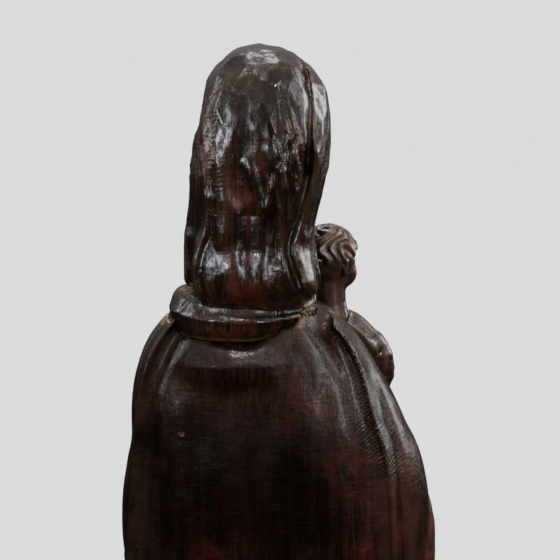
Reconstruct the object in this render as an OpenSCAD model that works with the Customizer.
// Standing Madonna holding a seated Child on her right forearm, carved in dark hardwood.
// The figure is pieced: garment and head blocks are carved apart, then glued and doweled.
// Millimetres, +Z up, the face looks along -Y, the origin is the middle of the underside.

/* [Base] */
// Width of the base board
plinth_w = 216; // [212:1:230]
// Depth of the base board
plinth_d = 190; // [188:1:204]
// Height of the base board without its felt
plinth_h = 36; // [30:1:37]
// Thickness of the felt glued under the base board
felt_t = 2; // [1:0.5:3]

/* [Figure] */
// Height of the crown of the veil above the table
crown_z = 760; // [756:1:764]
// Half the width of the mantle at the elbows
mantle_half_w = 91; // [88:0.5:94]
// Depth of the mantle behind the middle of the figure
mantle_back = 54; // [50:1:58]
// Half the width of the recess that holds the gown
gown_half_w = 50; // [46:1:54]
// Half the width of the veil
veil_half_w = 39; // [37:0.5:41]
// Thickness of the rolled collar
collar_t = 22; // [18:1:24]

/* [Joinery] */
// Diameter of the dowels between the body blocks
body_dowel_d = 12; // [8:1:14]
// Diameter of the tenon under the neck
tenon_d = 28; // [20:1:32]
// Diameter of the pegs in wrists and arms
peg_d = 5; // [4:0.5:6]
// Glue room round every dowel and tenon
glue_gap = 0.15; // [0.1:0.05:0.3]

/* [Hidden] */

body_z = felt_t + plinth_h;
plinth_corner_r = 30;
plinth_step_inset = 9;
plinth_step_h = 16;

screw_x = 58;
screw_back_y = 26;
screw_shank_r = 2.5;
screw_head_r = 5;
screw_head_h = 5;
screw_len = 58;
screw_sink = 8;

arch_z = 440;           // the shoulders start to curve in above this height
shoulder_top = 616;     // where the curve of the shoulders would close
shoulder_power = 2.55;
mantle_top = 602;
mantle_front = 56;
depth_top = 613;        // where the curve of the back and chest would close
joint_y = -6;           // back face of the gown block
chest_front = 45;

collar_z = 599;
collar_x = 9;
collar_y = 2;
collar_ring_r = 30;
collar_r = collar_t / 2;
neck_r = 21;
neck_foot = 588;
tenon_z = 552;
veil_foot = 607;
veil_arch_z = 700;

head_at = [3, 2, 697];
head_turn = [7, -5, -8];    // looking down, leaning and turned towards the Child

child_head_at = [-37.5, -38, 626];
child_head_turn = [4, 0, -38];  // looking out over her right arm

function smooth(t) = t <= 0 ? 0 : t >= 1 ? 1 : t * t * (3 - 2 * t);
function mix(a, b, t) = a + (b - a) * smooth(t);
function signed_power(v, e) = sign(v) * pow(abs(v), e);

// Half an arch that starts upright at z0 and closes at z1.
function arch(z, z0, z1, p) = z <= z0 ? 1 : pow(1 - pow((z - z0) / (z1 - z0), p), 1 / p);

// One closed outline at height z: half width rx, depths behind and before the middle, squareness e.
function outline(z, cx, cy, rx, back, front, e, n) = [
    for (i = [0 : n - 1])
        let (a = 360 * i / n, c = cos(a), s = sin(a))
        [cx + rx * signed_power(c, 2 / e), cy + (s > 0 ? back : front) * signed_power(s, 2 / e), z]
];

// A closed solid through outlines listed from the lowest to the highest.
module loft(rings) {
    n = len(rings[0]);
    last = len(rings) - 1;
    middles = [for (r = [rings[0], rings[last]]) [for (k = [0 : 2]) (r[0][k] + r[n / 2][k]) / 2]];
    low = n * (last + 1);
    polyhedron(
        points = concat([for (r = rings) each r], middles),
        faces = concat(
            [for (k = [0 : last - 1], i = [0 : n - 1])
                [k * n + i, (k + 1) * n + i, (k + 1) * n + (i + 1) % n]],
            [for (k = [0 : last - 1], i = [0 : n - 1])
                [k * n + i, (k + 1) * n + (i + 1) % n, k * n + (i + 1) % n]],
            [for (i = [0 : n - 1]) [low, i, (i + 1) % n]],
            [for (i = [0 : n - 1]) [low + 1, last * n + (i + 1) % n, last * n + i]]
        ),
        convexity = 6
    );
}

// A limb or roll through points given as [x, y, z, radius].
module limb(points, fn = 14) {
    for (i = [0 : len(points) - 2])
        hull() {
            for (p = [points[i], points[i + 1]])
                translate([p.x, p.y, p.z]) sphere(r = p[3], $fn = fn);
        }
}

module ellipsoid(at, size, fn = 24) {
    translate(at) scale(size) sphere(r = 1, $fn = fn);
}

module rod(from, to, r) {
    v = to - from;
    translate(from)
        rotate([0, acos(v.z / norm(v)), atan2(v.y, v.x)])
            cylinder(r = r, h = norm(v), $fn = 24);
}

// ---- Base ----

module rounded_board(w, d, r, h) {
    linear_extrude(h) {
        square([w - 2 * r, d], center = true);
        square([w, d - 2 * r], center = true);
        for (x = [-1, 1], y = [-1, 1])
            translate([x * (w / 2 - r), y * (d / 2 - r)]) circle(r = r, $fn = 64);
    }
}

module screw_places() {
    for (x = [-screw_x, screw_x]) translate([x, screw_back_y, 0]) children();
    for (x = [-screw_x / 2, screw_x / 2]) translate([x, -screw_back_y, 0]) children();
}

module felt_pad() {
    color("darkolivegreen")
        rounded_board(plinth_w - 8, plinth_d - 8, plinth_corner_r - 4, felt_t);
}

module plinth() {
    color([0.10, 0.05, 0.03])
        difference() {
            union() {
                translate([0, 0, felt_t])
                    rounded_board(plinth_w, plinth_d, plinth_corner_r, plinth_step_h);
                translate([0, 0, felt_t + plinth_step_h])
                    rounded_board(plinth_w - 2 * plinth_step_inset, plinth_d - 2 * plinth_step_inset,
                        plinth_corner_r - plinth_step_inset, plinth_h - plinth_step_h);
            }
            screw_places() {
                translate([0, 0, felt_t - 1]) cylinder(r = screw_head_r + 1, h = screw_sink + 1, $fn = 48);
                cylinder(r = screw_shank_r + 0.3, h = body_z + 1, $fn = 48);
            }
        }
}

// A round-headed wood screw whose head seats at the bottom of its counterbore.
module screw_body(extra = 0) {
    translate([0, 0, felt_t + screw_sink]) {
        translate([0, 0, -screw_head_h]) cylinder(r = screw_head_r + extra, h = screw_head_h, $fn = 48);
        cylinder(r = screw_shank_r + extra, h = screw_len - 6, $fn = 48);
        translate([0, 0, screw_len - 6])
            cylinder(r1 = screw_shank_r + extra, r2 = 0.4 + extra, h = 6, $fn = 48);
    }
}

module plinth_screws() {
    color("darkgoldenrod") screw_places() screw_body();
}

// ---- Body ----

// How far each height is along the shoulders' curve, from 0 at the elbows.
function shoulder(z) = (z - arch_z) / (shoulder_top - arch_z);
function below(z) = (arch_z - z) / (arch_z - body_z);

function mantle_w(z) = z > arch_z
    ? mantle_half_w * arch(z, arch_z, shoulder_top, shoulder_power)
    : mantle_half_w - 24 * below(z) + 16 * below(z) * below(z);
function mantle_x(z) = z > arch_z
    ? mix(-8, 4, (z - 500) / 90)
    : mix(-8, 0, below(z));
function mantle_y(z, depth) = z > arch_z ? depth * arch(z, arch_z, depth_top, 3) : depth - 5 * below(z);

module mantle_form() {
    steps = 18;
    heights = [for (i = [0 : steps]) body_z + (mantle_top - body_z) * (1 - pow(1 - i / steps, 1.7))];
    loft([for (z = heights)
        outline(z, mantle_x(z), 0, mantle_w(z), mantle_y(z, mantle_back), mantle_y(z, mantle_front), 2.6, 40)]);
    // rolled front borders and the folds that fall from the elbows
    for (side = [-1, 1]) {
        limb([for (z = [body_z + 9, 220, 400, 520, 565, 594])
            [side * min(gown_half_w + 5, mantle_w(z) - 12) + mantle_x(z) * 0.4,
                12 - mantle_y(z, mantle_front), z, 9]], 10);
        limb([for (z = [body_z + 9, 200, 330, 430])
            [side * (mantle_w(z) - 12) + mantle_x(z), -18, z, 13]], 10);
    }
}

module gown_recess() {
    translate([-gown_half_w, joint_y - 200, body_z - 1]) cube([2 * gown_half_w, 200, 700]);
}

// The seat of the neck and, below it, the bore for its tenon.
module neck_socket() {
    translate([collar_x, collar_y, neck_foot]) cylinder(r = neck_r + glue_gap, h = 60, $fn = 40);
    translate([collar_x, collar_y, tenon_z - 2]) cylinder(r = tenon_d / 2 + glue_gap, h = 60, $fn = 40);
}

module body_dowel_holes(extra) {
    for (x = [-26, 26], z = [120, 300, 480])
        rod([x, joint_y - 22 - extra, z], [x, joint_y + 22 + extra, z], body_dowel_d / 2 + extra);
}

module mantle_block() {
    difference() {
        mantle_form();
        gown_recess();
        collar_roll();
        translate([collar_x, collar_y, collar_z]) cylinder(r = collar_ring_r + 2, h = 60, $fn = 40);
        neck_socket();
    }
}

module mantle() {
    color([0.09, 0.05, 0.04])
        difference() {
            mantle_block();
            body_dowel_holes(glue_gap);
            screw_places() screw_body(glue_gap);
            sleeve_rods(glue_gap);
            child_rods(glue_gap);
        }
}

function gown_depth(z) = (chest_front + 5 * smooth((500 - z) / 120) + 6 * smooth((260 - z) / 220))
    * arch(z, arch_z, depth_top, 3);

module gown_form() {
    n = 48;
    heights = [body_z, 140, 240, 330, 400, 450, 490, 525, 555, 575, 590, mantle_top];
    loft([for (z = heights)
        let (fold = 3.2 * smooth((500 - z) / 260), shift = mantle_x(z) * smooth((z - 540) / 40))
        [for (i = [0 : n - 1])
            let (a = 360 * i / n, s = sin(a), x = min(60, mantle_w(z) - 3) * signed_power(cos(a), 2 / 3.2))
            [x + shift, s > 0 ? 6 * s : -gown_depth(z) * signed_power(-s, 2 / 3.2) + fold * s * cos(x * 19), z]]]);
    // raised folds that fall from the belt
    for (x = [-30, -11, 9, 29])
        limb([[x * 0.7, 4 - gown_depth(455), 455, 4], [x * 0.9, 2 - gown_depth(300), 300, 5],
            [x, 2 - gown_depth(body_z), body_z + 6, 6]], 10);
}

module gown_block() {
    difference() {
        intersection() {
            gown_form();
            gown_recess();
            translate([-100, -200, body_z]) cube([200, 200, 600]);
        }
        collar_roll();
        translate([collar_x, collar_y, collar_z]) cylinder(r = collar_ring_r + 2, h = 60, $fn = 40);
        neck_socket();
    }
}

module gown() {
    color([0.14, 0.06, 0.04])
        difference() {
            gown_block();
            body_dowel_holes(glue_gap);
            screw_places() screw_body(glue_gap);
            shoe_forms();
            sleeve_rods(glue_gap);
            child_rods(glue_gap);
        }
}

module body_dowels() {
    color("peru") body_dowel_holes(0);
}

module shoe_forms() {
    for (x = [-19, 17])
        intersection() {
            limb([[x, -46, body_z + 4, 10], [x * 1.1, -60, body_z + 3, 9], [x * 1.2, -71, body_z + 1, 6]], 20);
            translate([-60, -90, body_z]) cube([120, 60, 30]);
        }
}

module shoe_tips() {
    color([0.07, 0.04, 0.03]) shoe_forms();
}

// ---- Collar, head and veil ----

// The roll thins where its end is tucked under the veil on her right.
function collar_thickness(a) = collar_r * (1 - 0.28 * smooth(1 - abs(a - 160) / 40));

module collar_roll() {
    steps = 16;
    limb([for (i = [0 : steps])
        let (a = 360 * i / steps)
        [collar_x + collar_ring_r * cos(a), collar_y + collar_ring_r * sin(a),
            collar_z, collar_thickness(a)]], 14);
}

module collar() {
    color([0.11, 0.06, 0.05])
        difference() {
            collar_roll();
            translate([collar_x, collar_y, collar_z - 30]) cylinder(r = neck_r + glue_gap, h = 60, $fn = 40);
            translate([-100, -100, veil_foot]) cube(200);
        }
}

// Skull, jaw, hair and neck: everything the veil fits round.
module head_core() {
    translate(head_at) rotate(head_turn) {
        ellipsoid([0, 4, 8], [30, 38, 41], 24);
        ellipsoid([0, -13, -18], [23, 25, 30], 20);
        for (side = [-1, 1])
            limb([[side * 2, -39, 36, 7], [side * 22, -24, 22, 6], [side * 27, -14, -4, 6]], 10);
    }
    translate([collar_x, collar_y, neck_foot]) cylinder(r1 = neck_r, r2 = neck_r - 3, h = 84, $fn = 40);
}

module head_form() {
    head_core();
    translate(head_at) rotate(head_turn) {
        limb([[-2, -33, -42, 5], [2, -33, -42, 5]], 12);                      // chin
        limb([[0, -36, 8, 2.6], [0, -40, -6, 3], [0, -42, -16, 3.6]], 10);    // nose
        limb([[-4, -38, -17, 2.4], [4, -38, -17, 2.4]], 8);                   // nostrils
        for (side = [-1, 1]) {
            limb([[side * 5, -34, 9, 3], [side * 19, -29, 8, 3]], 8);         // brow
            limb([[side * 8, -34, 0, 3.4], [side * 16, -31.5, -1, 3.2]], 8);  // eyelid
            limb([[side * 16, -26, -15, 7], [side * 20, -18, -14, 7]], 8);    // cheek
        }
        limb([[-6, -35, -28, 2.2], [0, -36.4, -27.6, 2.6], [6, -35, -28, 2.2]], 8);   // upper lip
        limb([[-4.5, -34.6, -31.4, 2.2], [0, -35.4, -31.8, 2.8], [4.5, -34.6, -31.4, 2.2]], 8);  // lower lip
    }
}

module head() {
    color([0.16, 0.08, 0.05]) {
        head_form();
        translate([collar_x, collar_y, tenon_z]) cylinder(r = tenon_d / 2, h = 60, $fn = 40);
    }
}

function veil_w(z) = veil_half_w * arch(z, veil_arch_z, crown_z, 2.5);
function veil_x(z) = mix(7, -1, (z - 625) / 95);
function veil_front(z) = mix(18, 42, (z - 632) / 40) * arch(z, veil_arch_z, crown_z, 3.2);
function veil_back(z) = mix(39, 47, (z - 610) / 70) * arch(z, veil_arch_z, crown_z, 2.3);

module veil_form() {
    steps = 14;
    heights = [for (k = [0 : steps])
        veil_foot + (crown_z - 0.4 - veil_foot) * (1 - pow(1 - k / steps, 1.8))];
    loft([for (z = heights) outline(z, veil_x(z), 3, veil_w(z), veil_back(z), veil_front(z), 2.3, 36)]);
    // the gathered fold that rests on the collar behind
    intersection() {
        limb([[-12, 28, 636, 12], [8, 31, 628, 13], [28, 26, 636, 12]], 12);
        translate([-100, -100, veil_foot]) cube(200);
    }
}

module face_opening() {
    hull() {
        translate(head_at) rotate(head_turn) {
            translate([0, -20, 2]) rotate([90, 0, 0]) scale([27, 42, 1]) cylinder(r = 1, h = 40, $fn = 40);
        }
        translate([4, -14, veil_foot - 2]) rotate([90, 0, 0]) cylinder(r = 25, h = 40, $fn = 32);
    }
}

module veil() {
    color([0.10, 0.05, 0.04])
        difference() {
            union() {
                veil_form();
                // rolled rim round the face
                intersection() {
                    limb([for (i = [0 : 12])
                        let (a = 15 * i, low = smooth(abs(a - 90) / 90))
                        [4 * low + 32 * cos(a), mix(-35, -10, low * low), 697 + 50 * sin(a) - 74 * low, 5.5]], 10);
                    translate([-100, -100, veil_foot]) cube(200);
                }
            }
            face_opening();
            head_core();
        }
}

// ---- Madonna's arms ----

right_wrist = [-26, -70, 471];
left_wrist = [22, -72, 500];

module right_sleeve_form() {
    limb([[-78, -6, 488, 18], [-84, -14, 466, 20], [-66, -46, 466, 19], [-46, -62, 470, 17], [-34, -67, 470, 14]], 16);
    // the open end of the sleeve hangs below the forearm
    hull() {
        for (p = [[-84, -14, 456, 20], [-56, -58, 458, 14], [-80, -24, 404, 10], [-62, -54, 412, 8]])
            translate([p.x, p.y, p.z]) sphere(r = p[3], $fn = 16);
    }
    limb([[-50, -62, 462, 14], [-60, -58, 424, 7], [-63, -56, 406, 5]], 12);
}

module left_sleeve_form() {
    limb([[66, -20, 504, 16], [64, -30, 468, 18], [54, -48, 474, 18], [44, -58, 482, 17], [32, -66, 492, 14]], 16);
    hull() {
        for (p = [[62, -30, 460, 18], [44, -58, 470, 13], [60, -36, 408, 9], [46, -54, 414, 8]])
            translate([p.x, p.y, p.z]) sphere(r = p[3], $fn = 16);
    }
    limb([[40, -60, 476, 13], [44, -58, 430, 7], [46, -56, 410, 5]], 12);
}

module sleeve_rods(extra) {
    rod([-66, 6 + extra, 466], [-66, -58 - extra, 466], peg_d / 2 + 1.5 + extra);
    rod([56, 6 + extra, 472], [56, -58 - extra, 472], peg_d / 2 + 1.5 + extra);
}

module right_sleeve_block() {
    difference() {
        right_sleeve_form();
        mantle_block();
        gown_block();
    }
}

module left_sleeve_block() {
    difference() {
        left_sleeve_form();
        mantle_block();
        gown_block();
    }
}

module right_sleeve() {
    color([0.12, 0.06, 0.04])
        difference() {
            right_sleeve_block();
            sleeve_rods(glue_gap);
            wrist_rods(glue_gap);
            child_rods(glue_gap);
        }
}

module left_sleeve() {
    color([0.12, 0.06, 0.04])
        difference() {
            left_sleeve_block();
            sleeve_rods(glue_gap);
            wrist_rods(glue_gap);
        }
}

module sleeve_dowels() {
    color("peru") sleeve_rods(0);
}

module wrist_rods(extra) {
    rod([-42, -64 + extra, 470], right_wrist + [12 + extra, -6, 3], peg_d / 2 + extra);
    rod([34, -64 + extra, 490], left_wrist - [12 + extra, 6, -3], peg_d / 2 + extra);
}

module wrist_pegs() {
    color("peru") wrist_rods(0);
}

// Four fingers side by side and a thumb, from the wrist outwards.
module hand_form(wrist, reach, spread, thumb) {
    palm = wrist + reach * 0.5;
    hull() {
        translate(wrist) sphere(r = 8, $fn = 14);
        translate(palm + spread * 0.5) sphere(r = 5.5, $fn = 12);
        translate(palm - spread * 0.5) sphere(r = 5.5, $fn = 12);
    }
    for (k = [-1.5 : 1 : 1.5])
        limb([for (t = [0.45, 0.8, 1.1])
            let (p = wrist + reach * t * (1 - 0.04 * k * k) + spread * k / 3 + [0, 0, 3 - 6 * t * t])
            [p.x, p.y, p.z, 3.3 - 0.5 * t]], 10);
    limb([for (t = [0.2, 0.6, 0.85])
        let (p = wrist + thumb * t)
        [p.x, p.y, p.z, 3.8 - 0.6 * t]], 10);
}

module right_hand_form() {
    hand_form(right_wrist, [30, -14, 4], [0, 3, 16], [20, -12, 15]);
}

module left_hand_form() {
    hand_form(left_wrist, [-28, -14, 5], [2, 3, 16], [-18, -12, 16]);
}

module right_hand() {
    color([0.16, 0.08, 0.05])
        difference() {
            right_hand_form();
            right_sleeve_block();
            gown_block();
            tunic_block();
            wrist_rods(glue_gap);
        }
}

module left_hand() {
    color([0.16, 0.08, 0.05])
        difference() {
            left_hand_form();
            left_sleeve_block();
            right_hand_form();
            gown_block();
            tunic_block();
            wrist_rods(glue_gap);
        }
}

// ---- Child ----

module tunic_form() {
    limb([[-64, -40, 582, 9], [-46, -43, 586, 11], [-28, -46, 582, 9]], 14);
    hull() {
        ellipsoid([-46, -44, 578], [22, 14, 12], 18);
        ellipsoid([-47, -51, 530], [20, 17, 16], 18);
    }
    hull() {
        ellipsoid([-47, -51, 530], [20, 17, 16], 18);
        ellipsoid([-48, -55, 504], [23, 20, 19], 18);
    }
    for (x = [-37, -59])
        limb([[-48, -56, 504, 18], [x, -76, 505, 12.5], [x + 1, -81, 476, 10]], 14);
    hull() {
        for (x = [-37, -59]) translate([x, -78, 500]) sphere(r = 11, $fn = 14);
        for (x = [-39, -56]) translate([x, -78, 472]) sphere(r = 9, $fn = 14);
    }
    limb([[-40, -38, 592, 10], [-39, -38, 603, 9]], 14);
}

module tunic_block() {
    difference() {
        tunic_form();
        mantle_block();
        gown_block();
        collar_roll();
        right_sleeve_block();
        child_head_form();
    }
}

module child_rods(extra) {
    rod([-46, -14 + extra, 560], [-46, -50 - extra, 556], peg_d / 2 + extra);
    rod([-50, -54, 462 - extra], [-50, -54, 512 + extra], peg_d / 2 + extra);
    rod([-39, -38, 584 - extra], [-39, -38, 622 + extra], peg_d / 2 + extra);
}

module child_tunic() {
    color([0.15, 0.07, 0.05])
        difference() {
            tunic_block();
            child_rods(glue_gap);
        }
}

module child_dowels() {
    color("peru") child_rods(0);
}

module child_head_form() {
    translate([-39, -38, 602]) cylinder(r = 7.5, h = 14, $fn = 24);
    translate(child_head_at) rotate(child_head_turn) {
        ellipsoid([0, 2, 3], [15.5, 17.5, 17], 22);
        ellipsoid([0, -7, -7], [11.5, 10.5, 12.5], 18);
        limb([[0, -15, 0, 1.6], [0, -17.4, -5, 2]], 8);
        for (side = [-1, 1]) {
            limb([[side * 15, 2, 0, 2.4], [side * 14.8, 1, -5, 2]], 8);
            limb([[side * 3, -13, 12, 4], [side * 11, -7, 13, 4.4], [side * 13, 4, 10, 4]], 8);
            limb([[side * 3.6, -14.4, 2, 1.8], [side * 7, -13.2, 2, 1.8]], 8);
        }
        limb([[-2.5, -15, -10.6, 1.4], [2.5, -15, -10.6, 1.4]], 8);
    }
}

module child_head() {
    color([0.13, 0.07, 0.05])
        difference() {
            child_head_form();
            collar_roll();
            veil_form();
            child_rods(glue_gap);
        }
}

module child_right_arm_form() {
    limb([[-66, -42, 580, 8.5], [-70, -46, 554, 8], [-67, -62, 546, 7.2], [-58, -74, 552, 6.2]], 14);
}

module child_left_arm_form() {
    limb([[-27, -48, 580, 8.5], [-17, -58, 560, 7.5], [-9, -56, 568, 6.2]], 14);
}

module child_right_arm() {
    color([0.15, 0.07, 0.05])
        difference() {
            child_right_arm_form();
            tunic_block();
            mantle_block();
            child_right_hand_form();
        }
}

module child_left_arm() {
    color([0.15, 0.07, 0.05])
        difference() {
            child_left_arm_form();
            tunic_block();
            gown_block();
            child_left_hand_form();
        }
}

module child_right_hand_form() {
    limb([[-56, -77, 554, 5], [-53, -80, 562, 4.6]], 10);
    for (k = [-1, 1]) limb([[-53 + k * 1.7, -81, 564, 2], [-53 + k * 1.9, -82, 572, 1.8]], 8);
    limb([[-50, -80, 559, 2], [-48, -80, 564, 1.7]], 8);
}

module child_left_hand_form() {
    limb([[-6, -54, 572, 4.6], [0, -50, 577, 4]], 10);
    for (k = [-1 : 1]) limb([[0, -50 + k, 577 + k * 3, 1.9], [6, -47, 579 + k * 3, 1.7]], 8);
    limb([[-4, -54, 578, 1.9], [-3, -52, 583, 1.7]], 8);
}

module child_hands() {
    color([0.17, 0.09, 0.06])
        difference() {
            union() {
                child_right_hand_form();
                child_left_hand_form();
            }
            gown_block();
            mantle_block();
            collar_roll();
        }
}

module child_feet_forms() {
    for (x = [-39, -56])
        limb([[x, -81, 470, 5], [x, -82, 458, 5.6], [x, -87, 453, 4.4], [x, -90, 452, 3.4]], 12);
}

module child_feet() {
    color([0.17, 0.09, 0.06])
        difference() {
            child_feet_forms();
            tunic_block();
            right_sleeve_block();
            right_hand_form();
        }
}

felt_pad();
plinth();
plinth_screws();
mantle();
gown();
body_dowels();
shoe_tips();
collar();
head();
veil();
right_sleeve();
left_sleeve();
sleeve_dowels();
right_hand();
left_hand();
wrist_pegs();
child_tunic();
child_head();
child_right_arm();
child_left_arm();
child_hands();
child_feet();
child_dowels();
